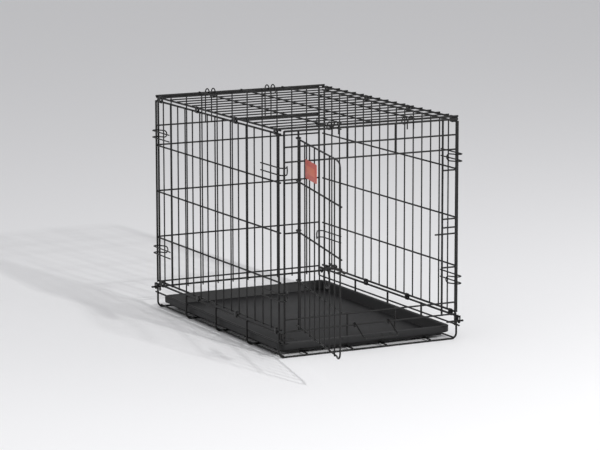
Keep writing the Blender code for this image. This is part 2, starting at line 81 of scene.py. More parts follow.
class Side(Enum):
    """The two long sides of the crate, by the sign of x."""

    LEFT = -1
    RIGHT = 1


class Slot(Enum):
    """The record's material slots."""

    WIRE = "wire_black"
    CLIP = "clip_black"
    PAN = "pan_plastic"
    PLATE = "plate_red"


# ---------------------------------------------------------------- materials


def linear(code: str) -> tuple[float, float, float, float]:
    """Turn an sRGB hex colour into linear RGBA.

    Args:
        code: Six hex digits, with or without a leading #.

    Returns:
        The linear red, green, blue and an alpha of 1.
    """
    digits = code.lstrip("#")
    channels = [int(digits[i:i + 2], 16) / 255 for i in (0, 2, 4)]
    light = [c / 12.92 if c <= 0.04045 else ((c + 0.055) / 1.055) ** 2.4 for c in channels]
    return (light[0], light[1], light[2], 1.0)


def add_node(
    tree: bpy.types.NodeTree, kind: str, settings: dict | None = None, links: dict | None = None
) -> bpy.types.Node:
    """Add a node, set its properties and inputs, and link what feeds it.

    Args:
        tree: The node tree it goes into.
        kind: The node's Blender type name.
        settings: Property names, or input names or numbers, with their values.
        links: Input names or numbers, each with the output socket that feeds it.

    Returns:
        The new node.
    """
    node = tree.nodes.new(kind)
    for key, value in (settings or {}).items():
        if isinstance(key, str) and hasattr(node, key):
            setattr(node, key, value)
        else:
            node.inputs[key].default_value = value
    for key, socket in (links or {}).items():
        tree.links.new(socket, node.inputs[key])
    return node


@dataclass(frozen=True)
class Mottle:
    """A pattern's real size and how strongly it shows."""

    grain_m: float
    depth_m: float
    strength: float = 0.5


@dataclass(frozen=True)
class Finish:
    """A coated or moulded surface: two close tones, a roughness band and a fine relief."""

    name: str
    tone: str
    second_tone: str
    blotch_m: float
    rough_low: float
    rough_high: float
    relief: Mottle
    metallic: float = 0.0
    ior: float = 1.5
    coat: float = 0.0
    wear_tone: str | None = None
    wear_amount: float = 0.0

    def make(self) -> bpy.types.Material:
        """Build the finish as a Blender material.

        Returns:
            The material, with its pattern on Object coordinates.
        """
        material = bpy.data.materials.new(self.name)
        material.use_nodes = True
        tree = material.node_tree
        shader = tree.nodes["Principled BSDF"]
        shader.inputs["Metallic"].default_value = self.metallic
        shader.inputs["IOR"].default_value = self.ior
        shader.inputs["Coat Weight"].default_value = self.coat
        shader.inputs["Coat Roughness"].default_value = COAT_ROUGHNESS
        place = add_node(tree, "ShaderNodeTexCoord")
        here = place.outputs["Object"]
        spread = {"Scale": 1 / self.blotch_m, "Detail": 3.0}
        blotch = add_node(tree, "ShaderNodeTexNoise", spread, {"Vector": here})
        tones = {"data_type": "RGBA", 6: linear(self.tone), 7: linear(self.second_tone)}
        tone = add_node(tree, "ShaderNodeMix", tones, {0: blotch.outputs["Fac"]})
        colour = tone.outputs[2]
        if self.wear_tone:
            spread = {"Scale": 1 / (self.blotch_m * RUB_SHARE), "Detail": 6.0}
            rub = add_node(tree, "ShaderNodeTexNoise", spread, {"Vector": here})
            band = {"From Min": RUB_BAND[0], "From Max": RUB_BAND[1], "To Max": self.wear_amount}
            limit = add_node(tree, "ShaderNodeMapRange", band, {"Value": rub.outputs["Fac"]})
            worn = add_node(tree, "ShaderNodeMix", {"data_type": "RGBA", 7: linear(self.wear_tone)},
                            {0: limit.outputs["Result"], 6: colour})
            colour = worn.outputs[2]
        tree.links.new(colour, shader.inputs["Base Color"])
        rough = add_node(tree, "ShaderNodeMapRange", {"To Min": self.rough_low, "To Max": self.rough_high},
                         {"Value": blotch.outputs["Fac"]})
        tree.links.new(rough.outputs["Result"], shader.inputs["Roughness"])
        spread = {"Scale": 1 / self.relief.grain_m, "Detail": 2.0}
        grain = add_node(tree, "ShaderNodeTexNoise", spread, {"Vector": here})
        height = {"Strength": self.relief.strength, "Distance": self.relief.depth_m}
        bump = add_node(tree, "ShaderNodeBump", height, {"Height": grain.outputs["Fac"]})
        tree.links.new(bump.outputs["Normal"], shader.inputs["Normal"])
        return material


# Epoxy electrocoat on drawn low-carbon steel wire: a thin satin skin that follows the wire, near
# black with a soft highlight. Its orange peel is about 1 mm, drawn at 1.5 mm so that it shows.
ELECTROCOAT = Finish("black_electrocoat_on_steel_wire", "#0c0c0c", "#161515", 0.060, 0.36, 0.52,
                     Mottle(0.0015, 0.00006, 0.35), ior=1.36, wear_tone="#2a2826", wear_amount=0.5)

# The same coat on rolled sheet clips, which rub as the panels fold, so it is duller and greyer.
CLIP_COAT = Finish("black_electrocoat_on_sheet_steel", "#151515", "#222122", 0.020, 0.38, 0.54,
                   Mottle(0.0012, 0.00005, 0.35), ior=1.42, wear_tone="#484644", wear_amount=0.6)

# High-density polyethylene, moulded in a spark-eroded tool: an even black with a fine leathery
# grain of about 1.2 mm that spreads the highlight, and paler scuffs where claws cross it.
PAN_POLYETHYLENE = Finish("black_moulded_polyethylene", "#0e0e0f", "#161617", 0.090, 0.46, 0.62,
                          Mottle(0.0012, 0.00018, 0.55), ior=1.42, wear_tone="#262627", wear_amount=0.45)

# Screen-printed polystyrene card: smooth, warm red, with a faint gloss.
PRINTED_CARD = Finish("red_printed_polystyrene", "#c1452c", "#b63d28", 0.030, 0.32, 0.42,
                      Mottle(0.0020, 0.00003, 0.25), ior=1.55, coat=0.2)

# The blank panel on the card: the same red printed over a tint, so a shade lighter.
CARD_PANEL = Finish("tinted_printed_polystyrene", "#cf6b4d", "#c66247", 0.030, 0.36, 0.46,
                    Mottle(0.0020, 0.00003, 0.25), ior=1.55)

# Zinc-plated steel rivets, dulled by handling.
ZINC = Finish("zinc_plated_rivet", "#8d8f92", "#7c7e82", 0.004, 0.28, 0.40,
              Mottle(0.0006, 0.00002, 0.3), metallic=1.0)


# ---------------------------------------------------------------- bench tools


class Bench:
    """Blender operations used as hand tools. Each returns a mesh object at the origin."""

    @staticmethod
    def clear() -> None:
        """Leave nothing selected."""
        if bpy.context.object and bpy.context.object.mode != "OBJECT":
            bpy.ops.object.mode_set(mode="OBJECT")
        bpy.ops.object.select_all(action="DESELECT")

    @classmethod
    def take(cls, thing: bpy.types.Object) -> bpy.types.Object:
        """Select one object alone and make it active."""
        cls.clear()
        thing.select_set(True)
        bpy.context.view_layer.objects.active = thing
        return thing

    @classmethod
    def settle(cls, thing: bpy.types.Object) -> bpy.types.Object:
        """Move an object's place, turn and scale into its mesh."""
        cls.take(thing)
        bpy.ops.object.transform_apply(location=True, rotation=True, scale=True)
        return thing

    @classmethod
    def apply(cls, thing: bpy.types.Object, kind: str, **settings: object) -> None:
        """Add a modifier with its settings and apply it."""
        cls.take(thing)
        modifier = thing.modifiers.new(kind.lower(), kind)
        for key, value in settings.items():
            setattr(modifier, key, value)
        bpy.ops.object.modifier_apply(modifier=modifier.name)

    @classmethod
    def ease(cls, thing: bpy.types.Object, width: float, segments: int, angle: float) -> None:
        """Round every edge that is sharper than an angle, in radians."""
        cls.apply(thing, "BEVEL", width=width, segments=segments, limit_method="ANGLE", angle_limit=angle)

    @classmethod
    def join(cls, things: list[bpy.types.Object], name: str) -> bpy.types.Object:
        """Join objects into the first one.

        Args:
            things: The objects, at the origin.
            name: The joined object's name.

        Returns:
            The joined object.
        """
        cls.take(things[0])
        for thing in things[1:]:
            thing.select_set(True)
        if len(things) > 1:
            bpy.ops.object.join()
        things[0].name = name
        things[0].data.name = name
        return things[0]

    @classmethod
    def place(cls, thing: bpy.types.Object, matrix: Matrix) -> bpy.types.Object:
        """Move a finished object by a matrix and settle it."""
        thing.matrix_world = matrix
        return cls.settle(thing)

    @classmethod
    def wire(cls, points: list[Vector], radius: float, sides: int = 12) -> bpy.types.Object:
        """Bend a round wire along a path, with its cut ends eased.

        Args:
            points: The path of the wire's centre.
            radius: The wire's radius.
            sides: Facets round the wire.

        Returns:
            The wire as a mesh.
        """
        cls.clear()
        bpy.ops.curve.primitive_bezier_curve_add()
        curve = bpy.context.object
        curve.data.splines.clear()
        spline = curve.data.splines.new("POLY")
        spline.points.add(len(points) - 1)
        for knot, point in zip(spline.points, points):
            knot.co = (*point, 1.0)
        curve.data.dimensions = "3D"
        curve.data.bevel_depth = radius
        curve.data.bevel_resolution = sides // 2 - 2
        curve.data.use_fill_caps = True
        bpy.ops.object.convert(target="MESH")
        made = bpy.context.object
        cls.ease(made, radius * EASED_END, 2, CORNER_ANGLE)
        return made

    @classmethod
    def rod(cls, start: tuple, end: tuple, radius: float) -> bpy.types.Object:
        """A straight round wire."""
        return cls.wire([Vector(start), Vector(end)], radius)

    @classmethod
    def bead(cls, place: tuple, radius: float) -> bpy.types.Object:
        """The low nugget that a resistance weld leaves in the corner of two crossed wires."""
        cls.clear()
        bpy.ops.mesh.primitive_ico_sphere_add(subdivisions=2, radius=radius, location=place)
        return cls.settle(bpy.context.object)

    @classmethod
    def repeat(cls, thing: bpy.types.Object, step: Vector, count: int) -> bpy.types.Object:
        """Repeat an object in a straight line, in the one mesh."""
        if count > 1:
            cls.apply(thing, "ARRAY", count=count, use_relative_offset=False, use_constant_offset=True,
                      constant_offset_displace=step)
        return thing

    @classmethod
    def smooth(cls, thing: bpy.types.Object, degrees: float = 42) -> None:
        """Shade smooth across everything flatter than an angle."""
        cls.take(thing)
        bpy.ops.object.shade_smooth_by_angle(angle=math.radians(degrees))

    @classmethod
    def edit(cls, thing: bpy.types.Object, mode: str) -> None:
        """Open an object in edit mode with nothing selected."""
        cls.take(thing)
        bpy.ops.object.mode_set(mode="EDIT")
        bpy.ops.mesh.select_mode(type=mode)
        bpy.ops.mesh.select_all(action="DESELECT")
        bpy.ops.object.mode_set(mode="OBJECT")

    @staticmethod
    def open() -> None:
        """Go to edit mode on the active object."""
        bpy.ops.object.mode_set(mode="EDIT")

    @staticmethod
    def close() -> None:
        """Go back to object mode."""
        bpy.ops.object.mode_set(mode="OBJECT")


def arc(centre: Vector, spoke: Vector, axis: Vector, angle: float, steps: int) -> list[Vector]:
    """Points on an arc.

    Args:
        centre: The arc's centre.
        spoke: From the centre to the first point.
        axis: The axis the spoke turns about.
        angle: How far it turns, in radians.
        steps: The number of straight steps.

    Returns:
        The points, first and last included.
    """
    return [centre + Matrix.Rotation(angle * i / steps, 3, axis) @ spoke for i in range(steps + 1)]


def rounded(points: list[Vector], radius: float, steps: int = 8) -> list[Vector]:
    """Replace each inner corner of a path by an arc."""
    path = [points[0]]
    for before, corner, after in zip(points, points[1:], points[2:]):
        arrive, leave = (corner - before).normalized(), (after - corner).normalized()
        turn = arrive.angle(leave)
        axis = arrive.cross(leave).normalized()
        inward = axis.cross(arrive)
        begin = corner - arrive * radius * math.tan(turn / 2)
        count = max(2, round(steps * turn / (math.pi / 2)))
        path += arc(begin + inward * radius, -inward * radius, axis, turn, count)
    return path + [points[-1]]


def saddle(foot: Vector, middle: Vector, spoke: Vector) -> list[Vector]:
    """The path of a hairpin that hangs from its feet and passes half round a middle.

    Args:
        foot: The point midway between its two feet.
        middle: The middle of its round end.
        spoke: From the middle to where the round end starts.

    Returns:
        The path from one foot to the other.
    """
    return [foot + spoke] + arc(middle, spoke, X_AXIS, -math.pi, 12) + [foot - spoke]


# ---------------------------------------------------------------- sizes shared by the panels


@dataclass(frozen=True)
class Sizes:
    """The crate's sizes, between the centre lines of its wires."""

    length: float = 0.6096
    width: float = 0.4191
    rise: float = 0.4110
    fold_z: float = 0.0605
    rail_drop: float = 0.0080
    side_spaces: int = 16
    end_spaces: int = 11
    frame_r: float = 0.0022
    row_r: float = 0.0018
    bar_r: float = 0.0015
    weld: float = 0.0004
    gap: float = 0.0003
    fit: float = 0.00035
    overhang: float = 0.0003
    top_overhang: float = 0.0015
    rows: tuple[float, ...] = (0.1608, 0.2656, 0.3704)
    header: tuple[float, ...] = (0.4143, 0.4454)
    sill: tuple[float, ...] = (0.0583, 0.0838)
    front_top: float = 0.4785
    rear_top: float = 0.4775
    stand_off: float = 0.0088
    front_gap: float = 0.0006
    clip_wall: float = 0.0009

    def apart(self, first: float, second: float) -> float:
        """Distance between the centre lines of two crossing wires that are welded together."""
        return (first + second) * HEX - self.weld

    @property
    def half_l(self) -> float:
        """Half the length."""
        return self.length / 2

    @property
    def half_w(self) -> float:
        """Half the width."""
        return self.width / 2

    @property
    def pitch(self) -> float:
        """The spacing of the bars."""
        return self.length / self.side_spaces

    @property
    def top_fold_z(self) -> float:
        """Height of the side panels' top rails."""
        return self.fold_z + self.rise

    @property
    def base_rail_z(self) -> float:
        """Height of the base tray's top rails."""
        return self.fold_z - self.rail_drop

    @property
    def post_y(self) -> float:
        """How far the end panels' posts stand from the middle."""
        return self.half_l + self.stand_off

    @property
    def end_row_y(self) -> float:
        """How far the end panels' rows stand from the middle."""
        return self.post_y + self.apart(self.frame_r, self.row_r)

    @property
    def end_frame_y(self) -> float:
        """How far the end panels' thick cross wires stand from the middle."""
        return self.post_y + self.apart(self.frame_r, self.frame_r)

    @property
    def front_post_x(self) -> float:
        """How far the front posts stand from the middle, across the crate."""
        return self.half_w - 2 * self.frame_r - self.front_gap

    @property
    def rear_post_x(self) -> float:
        """How far the rear posts stand from the middle: they pass inside the hinge clips."""
        return self.half_w - 2 * self.frame_r - self.fit - self.clip_wall - self.gap

    @property
    def eye_r(self) -> float:
        """Radius of the hairpins that carry the pivot rods, at the wire's middle."""
        return self.frame_r + self.fit + self.bar_r


S = Sizes()


class Piece:
    """A base for the crate's sub-assemblies: it dresses and mounts finished objects."""

    finishes: dict[Finish, bpy.types.Material] = {}

    def dress(self, thing: bpy.types.Object, finish: Finish, slot: Slot) -> None:
        """Give an object its one finish."""
        if finish not in self.finishes:
            self.finishes[finish] = finish.make()
        thing.data.materials.clear()
        thing.data.materials.append(self.finishes[finish])

    def mount(self, thing: bpy.types.Object, body: str, *nodes: str, angle: float = 42) -> bpy.types.Object:
        """Smooth a finished piece, ride it on its body and let it stand for its CAD nodes.

        Args:
            thing: The finished piece.
            body: The CAD body it moves with.
            nodes: The CAD nodes it stands for.
            angle: The flattest edge that stays sharp, in degrees.

        Returns:
            The piece.
        """
        Bench.smooth(thing, angle)
        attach(thing, body)
        if nodes:
            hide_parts(*nodes)
        LOG.info("%s rides on %s", thing.name, body)
        return thing


# ---------------------------------------------------------------- panels


@dataclass
class SidePanel(Piece):
    """A side panel: two fold rails, three rows and seventeen bars."""

    side: Side
    bead_r: float = 0.0019

    def build(self) -> bpy.types.Object:
        """Weld up the panel.

        Returns:
            The panel, riding on its body.
        """
        sign = self.side.value
        reach = S.half_l + S.frame_r + S.overhang
        bar_x = S.half_w + S.apart(S.frame_r, S.bar_r)
        row_x = bar_x - S.apart(S.bar_r, S.row_r)
        edge_x = S.half_w + S.apart(S.frame_r, S.frame_r)
        low, high = S.fold_z - S.frame_r * PAST_RAIL, S.top_fold_z + S.frame_r * PAST_RAIL
        step = Vector((0, S.pitch, 0))
        parts = []
        lines = [(S.half_w, z, S.frame_r) for z in (S.fold_z, S.top_fold_z)]
        lines += [(row_x, z, S.row_r) for z in S.rows]
        for x, z, radius in lines:
            parts.append(Bench.rod((sign * x, -reach, z), (sign * x, reach, z), radius))
            nugget = Bench.bead((sign * (x + bar_x) / 2, -S.half_l, z), self.bead_r)
            parts.append(Bench.repeat(nugget, step, S.side_spaces + 1))
        first = -S.half_l + S.pitch
        thin = Bench.rod((sign * bar_x, first, low), (sign * bar_x, first, high), S.bar_r)
        parts.append(Bench.repeat(thin, step, S.side_spaces - 1))
        post = Bench.rod((sign * edge_x, -S.half_l, low), (sign * edge_x, -S.half_l, high), S.frame_r)
        parts.append(Bench.repeat(post, Vector((0, S.length, 0)), 2))
        name = f"{self.side.name.lower()}_side_wires"
        panel = Bench.join(parts, name)
        self.dress(panel, ELECTROCOAT, Slot.WIRE)
        side = self.side.name.lower()
        return self.mount(panel, f"{side}_side", f"{side}_side_panel")


@dataclass
class TopPanel(Piece):
    """The top panel: side rails, cross wires and three long ridge wires."""

    bead_r: float = 0.0019

    def build(self) -> bpy.types.Object:
        """Weld up the panel.

        Returns:
            The panel, riding on its body.
        """
        rail_z = S.top_fold_z + S.rail_drop
        bar_z = rail_z + S.apart(S.frame_r, S.bar_r)
        edge_z = rail_z + S.apart(S.frame_r, S.frame_r)
        ridge_z = bar_z + S.apart(S.bar_r, S.row_r)
        reach, width = S.half_l + S.frame_r + S.overhang, S.half_w + S.frame_r + S.top_overhang
        step = Vector((0, S.pitch, 0))
        parts = []
        lines = [(-S.half_w, rail_z, S.frame_r), (S.half_w, rail_z, S.frame_r)]
        lines += [(x, ridge_z, S.row_r) for x in (-S.half_w / 2, 0.0, S.half_w / 2)]
        for x, z, radius in lines:
            parts.append(Bench.rod((x, -reach, z), (x, reach, z), radius))
            nugget = Bench.bead((x, -S.half_l, (z + bar_z) / 2), self.bead_r)
            parts.append(Bench.repeat(nugget, step, S.side_spaces + 1))
        first = -S.half_l + S.pitch
        bar = Bench.rod((-width, first, bar_z), (width, first, bar_z), S.bar_r)
        parts.append(Bench.repeat(bar, step, S.side_spaces - 1))
        end = Bench.rod((-width, -S.half_l, edge_z), (width, -S.half_l, edge_z), S.frame_r)
        parts.append(Bench.repeat(end, Vector((0, S.length, 0)), 2))
        panel = Bench.join(parts, "top_wires")
        self.dress(panel, ELECTROCOAT, Slot.WIRE)
        return self.mount(panel, "top", "top_panel")


@dataclass
class RearPanel(Piece):
    """The rear panel, with the pivot rod it folds on."""

    pivot_z: float = 0.0453
    low_row_z: float = 0.0574
    post_tail: float = 0.0090
    bar_tail: float = 0.0050
    pivot_reach: float = 0.0130
    bead_r: float = 0.0019

    def build(self) -> bpy.types.Object:
        """Weld up the panel.

        Returns:
            The panel, riding on its body.
        """
        bar_y = S.end_row_y - S.apart(S.bar_r, S.row_r)
        first = -S.half_w + S.pitch
        step = Vector((S.pitch, 0, 0))
        end = S.rear_post_x + S.frame_r / 2
        parts = []
        bar = Bench.rod((first, bar_y, self.pivot_z - self.bar_tail), (first, bar_y, S.rear_top), S.bar_r)
        parts.append(Bench.repeat(bar, step, S.end_spaces - 1))
        x, low = -S.rear_post_x, self.pivot_z - self.post_tail
        post = Bench.rod((x, S.post_y, low), (x, S.post_y, S.rear_top), S.frame_r)
        parts.append(Bench.repeat(post, Vector((2 * S.rear_post_x, 0, 0)), 2))
        rod = S.half_w + self.pivot_reach
        lines = [(end, S.end_row_y, z, S.row_r) for z in (self.low_row_z, *S.rows, S.header[0])]
        lines += [(end, S.end_frame_y, S.rear_top, S.frame_r), (rod, S.end_frame_y, self.pivot_z, S.frame_r)]
        for reach, y, z, radius in lines:
            parts.append(Bench.rod((-reach, y, z), (reach, y, z), radius))
            nugget = Bench.bead((first, (y + bar_y) / 2, z), self.bead_r)
            parts.append(Bench.repeat(nugget, step, S.end_spaces - 1))
            corner = Bench.bead((-S.rear_post_x, (y + S.post_y) / 2, z), self.bead_r * 1.15)
            parts.append(Bench.repeat(corner, Vector((2 * S.rear_post_x, 0, 0)), 2))
        panel = Bench.join(parts, "rear_wires")
        self.dress(panel, ELECTROCOAT, Slot.WIRE)
        return self.mount(panel, "rear", "rear_panel")


@dataclass
class FrontPanel(Piece):
    """The door end: posts, header, sill, the opening's edge bars and the keeper wires."""

    pivot_z: float = 0.0420
    pivot_inner: float = 0.0249
    pivot_reach: float = 0.0130
    post_tail: float = 0.0090
    stub_x: float = 0.05715
    stub_drop: float = 0.0223
    keeper_z: tuple[float, float] = (0.2335, 0.2471)
    keeper_reach: float = 0.0170
    bead_r: float = 0.0019

    def build(self) -> bpy.types.Object:
        """Weld up the panel.

        Returns:
            The panel, riding on the base.
        """
        end, edge = S.front_post_x + S.frame_r / 2, S.half_w - S.pitch
        row_y, frame_y, post_y = -S.end_row_y, -S.end_frame_y, -S.post_y
        uprights, parts = [], []
        for sign in (-1, 1):
            uprights.append((sign * S.front_post_x, self.pivot_z - self.post_tail, S.front_top, S.frame_r))
            uprights.append((sign * edge, S.sill[0] - S.frame_r, S.front_top, S.frame_r))
            uprights.append((sign * self.stub_x, S.header[0] - S.row_r, S.front_top, S.frame_r))
            uprights.append((sign * self.stub_x, S.sill[0] - self.stub_drop, S.sill[1] + S.row_r, S.row_r))
        cross = [(-end, end, row_y, z, S.row_r) for z in (*S.sill, *S.header)]
        cross.append((-end, end, frame_y, S.front_top, S.frame_r))
        for sign in (-1, 1):
            cross += [(sign * edge, sign * end, row_y, z, S.row_r) for z in S.rows]
            inner, outer = S.half_w - self.pivot_inner - S.frame_r, S.half_w + self.pivot_reach
            cross.append((sign * inner, sign * outer, frame_y, self.pivot_z, S.frame_r))
        starts = (edge - S.frame_r - self.keeper_reach, edge - S.frame_r)
        cross += [(start, end, row_y, z, S.row_r) for start, z in zip(starts, self.keeper_z)]
        stub_y = row_y + S.apart(S.row_r, S.row_r)
        for x, low, high, radius in uprights:
            y = stub_y if radius == S.row_r else post_y
            parts.append(Bench.rod((x, y, low), (x, y, high), radius))
        for start, stop, y, z, radius in cross:
            parts.append(Bench.rod((start, y, z), (stop, y, z), radius))
            for x, low, high, _ in uprights:
                along = min(start, stop) - NEAR <= x <= max(start, stop) + NEAR
                if along and low - NEAR <= z <= high + NEAR:
                    parts.append(Bench.bead((x, (y + post_y) / 2, z), self.bead_r))
        panel = Bench.join(parts, "front_wires")
        self.dress(panel, ELECTROCOAT, Slot.WIRE)
        return self.mount(panel, "base", "front_panel")


@dataclass
class BaseTray(Piece):
    """The floor grid, bent up at both sides, with its low rails and the pivot eyes."""

    bend: float = 0.0120
    floor_spaces: int = 4
    runners: tuple[float, ...] = (0.0405, S.half_w - 0.0616, S.half_w - 0.0056)
    mid_rail_z: float = 0.0330
    pivots: tuple[tuple[End, float], ...] = ((End.FRONT, 0.0420), (End.REAR, 0.0453))
    bead_r: float = 0.0020

    def build(self) -> bpy.types.Object:
        """Bend and weld up the tray.

        Returns:
            The tray, riding on the base.
        """
        upright_x = S.half_w + S.apart(S.frame_r, S.frame_r)
        floor_z = S.frame_r * HEX
        top = S.base_rail_z + S.frame_r * INTO_RAIL
        y = -S.half_l
        corners = [(-upright_x, top), (-upright_x, floor_z), (upright_x, floor_z), (upright_x, top)]
        path = rounded([Vector((x, y, z)) for x, z in corners], self.bend, 8)
        step = Vector((0, S.length / self.floor_spaces, 0))
        count = self.floor_spaces + 1
        parts = [Bench.repeat(Bench.wire(path, S.frame_r), step, count)]
        runner_z = floor_z + S.apart(S.frame_r, S.row_r)
        reach = S.half_l + S.overhang + S.frame_r
        lines = [(sign * x, runner_z, S.row_r, reach) for x in self.runners for sign in (-1, 1)]
        for sign in (-1, 1):
            for z, radius in ((S.base_rail_z, S.frame_r), (self.mid_rail_z, S.row_r)):
                x = upright_x - S.apart(S.frame_r, radius)
                lines.append((sign * x, z, radius, S.end_frame_y + S.eye_r + S.bar_r))
        for x, z, radius, run in lines:
            parts.append(Bench.rod((x, -run, z), (x, run, z), radius))
            spot = (math.copysign((abs(x) + upright_x) / 2, x), y, z)
            if z == runner_z:
                spot = (x, y, (z + floor_z) / 2)
            parts.append(Bench.repeat(Bench.bead(spot, self.bead_r), step, count))
        for end, z in self.pivots:
            parts += [self.eye(sign, end, z) for sign in (-1, 1)]
        tray = Bench.join(parts, "base_wires")
        self.dress(tray, ELECTROCOAT, Slot.WIRE)
        return self.mount(tray, "base", "base_tray")

    def eye(self, sign: int, end: End, z: float) -> bpy.types.Object:
        """The hairpin that hangs from a rail and carries a pivot rod.

        Args:
            sign: The side of the crate.
            end: The end of the crate.
            z: The pivot rod's height.

        Returns:
            The hairpin.
        """
        x = sign * (S.half_w + S.apart(S.frame_r, S.bar_r))
        radius = S.eye_r
        middle = Vector((x, end.value * S.end_frame_y, z))
        top = Vector((x, middle.y, S.base_rail_z + S.frame_r * EYE_FOOT))
        return Bench.wire(saddle(top, middle, Y_AXIS * radius), S.bar_r)


# ---------------------------------------------------------------- door


@dataclass
class Door(Piece):
    """The door with its curls, bars, bolt guides, bolt and printed card."""

    opened: float = math.radians(102.5)
    top_z: float = 0.4625
    low_z: float = 0.0700
    edge_lap: float = 0.0045
    corner: float = 0.0140
    jog: tuple[float, float] = (0.0324, 0.0204)
    curl: float = math.radians(243)
    bolt_z: float = 0.2403
    bolt_r: float = 0.0020
    bolt_fit: float = 0.0003
    bolt_length: float = 0.1130
    tip_back: float = 0.0044
    bolt_bars: tuple[int, int] = (7, 8)
    stem_gap: float = 0.0038
    pull_r: float = 0.0200
    pull_stand_off: float = 0.0030
    pull_turn: float = math.radians(300)
    weld_back: float = 0.5
    weld_share: float = 1.35
    card: tuple[float, float] = (0.0870, 0.0390)
    card_middle: tuple[float, float] = (0.1335, 0.4130)
    card_thick: float = 0.0010
    card_corner: float = 0.0030
    rivet_inset: float = 0.0040
    panel_share: tuple[float, float] = (0.72, 0.42)
    panel_thick: float = 0.0003
    panel_corner: float = 0.0015
    bead_r: float = 0.0018

    @property
    def width(self) -> float:
        """From the hinge bar to the opening's other edge bar."""
        return (S.end_spaces - 2) * S.pitch

    @property
    def row_back(self) -> float:
        """How far the rows stand out from the hinge bar."""
        return S.frame_r + S.gap + S.row_r

    @property
    def bar_back(self) -> float:
        """How far the bars stand out from the hinge bar."""
        return self.row_back + S.apart(S.bar_r, S.row_r)

    @property
    def edge_back(self) -> float:
        """How far the free edge stands out from the hinge bar."""
        return self.row_back + S.apart(S.row_r, S.row_r)

    @property
    def bolt_back(self) -> float:
        """How far behind the hinge bar the bolt runs."""
        return S.frame_r + S.gap + self.bolt_r

    @property
    def placed(self) -> Matrix:
        """From the shut door's frame to the open door."""
        hinge = Matrix.Translation((-S.half_w + S.pitch, -S.post_y, 0))
        return hinge @ Matrix.Rotation(-self.opened, 4, "Z")

    def curled(self, z: float) -> list[Vector]:
        """The path of a wire's end curled round the hinge bar, at a height."""
        return list(reversed(arc(Vector((0, 0, z)), Vector((0, -self.row_back, 0)), Z_AXIS, -self.curl, 22)))

    def build(self) -> None:
        """Make the door, the bolt and the card."""
        self.build_leaf()
        self.build_bolt()
        self.build_card()

    def build_leaf(self) -> None:
        """The welded door leaf."""
        reach = self.width + self.edge_lap
        corners = [(reach - self.jog[0], self.row_back)]
        corners += [(x, self.edge_back) for x in (reach - self.jog[1], reach)]
        frame = [Vector((0, -self.row_back, self.top_z))]
        frame += [Vector((x, -back, self.top_z)) for x, back in corners]
        frame += [Vector((x, -back, self.low_z)) for x, back in reversed(corners)]
        frame = rounded(frame + [Vector((0, -self.row_back, self.low_z))], self.corner)
        frame = self.curled(self.top_z)[:-1] + frame + self.curled(self.low_z)[-2::-1]
        parts = [Bench.wire(frame, S.row_r)]
        heights = [z + 2 * S.row_r + S.gap for z in S.rows]
        step = Vector((S.pitch, 0, 0))
        count = S.end_spaces - 3
        for z in heights:
            path = self.curled(z) + [Vector((reach + S.row_r / 2, -self.row_back, z))]
            parts.append(Bench.wire(path, S.row_r))
        for z in (*heights, self.top_z, self.low_z):
            spot = (S.pitch, -(self.row_back + self.bar_back) / 2, z)
            parts.append(Bench.repeat(Bench.bead(spot, self.bead_r), step, count))
        low, high = self.low_z - S.row_r, self.top_z + S.row_r
        bar = Bench.rod((S.pitch, -self.bar_back, low), (S.pitch, -self.bar_back, high), S.bar_r)
        parts.append(Bench.repeat(bar, step, count))
        parts += [self.guide(bay * S.pitch) for bay in self.bolt_bars]
        leaf = Bench.place(Bench.join(parts, "door_wires"), self.placed)
        self.dress(leaf, ELECTROCOAT, Slot.WIRE)
        self.mount(leaf, "door", "door")

    def guide(self, x: float) -> bpy.types.Object:
        """The hairpin on a door bar that carries the bolt."""
        radius = self.bolt_r + self.bolt_fit + S.bar_r
        middle = Vector((x, self.bolt_back, self.bolt_z))
        foot = Vector((x, -self.bar_back + S.bar_r / 2, self.bolt_z))
        return Bench.wire(saddle(foot, middle, Z_AXIS * radius), S.bar_r)

    def build_bolt(self) -> None:
        """The sliding bolt with its round pull."""
        tip = self.width - self.tip_back
        back = self.bolt_back
        rod = Bench.rod((tip - self.bolt_length, back, self.bolt_z), (tip, back, self.bolt_z), self.bolt_r)
        stem = self.bolt_bars[0] * S.pitch + self.stem_gap
        out = -self.bar_back - S.bar_r - self.pull_stand_off - self.bolt_r
        centre = Vector((stem, out, self.bolt_z - self.pull_r))
        ring = arc(centre, Z_AXIS * self.pull_r, Y_AXIS, self.pull_turn, 45)
        path = rounded([Vector((stem, back, self.bolt_z)), ring[0], ring[3]], 0.0025, 6)
        pull = Bench.wire(path + ring[4:], self.bolt_r)
        spot = (stem, back - self.bolt_r * self.weld_back, self.bolt_z)
        weld = Bench.bead(spot, self.bolt_r * self.weld_share)
        bolt = Bench.place(Bench.join([rod, pull, weld], "bolt_wire"), self.placed)
        self.dress(bolt, ELECTROCOAT, Slot.WIRE)
        self.mount(bolt, "bolt", "latch_bolt")

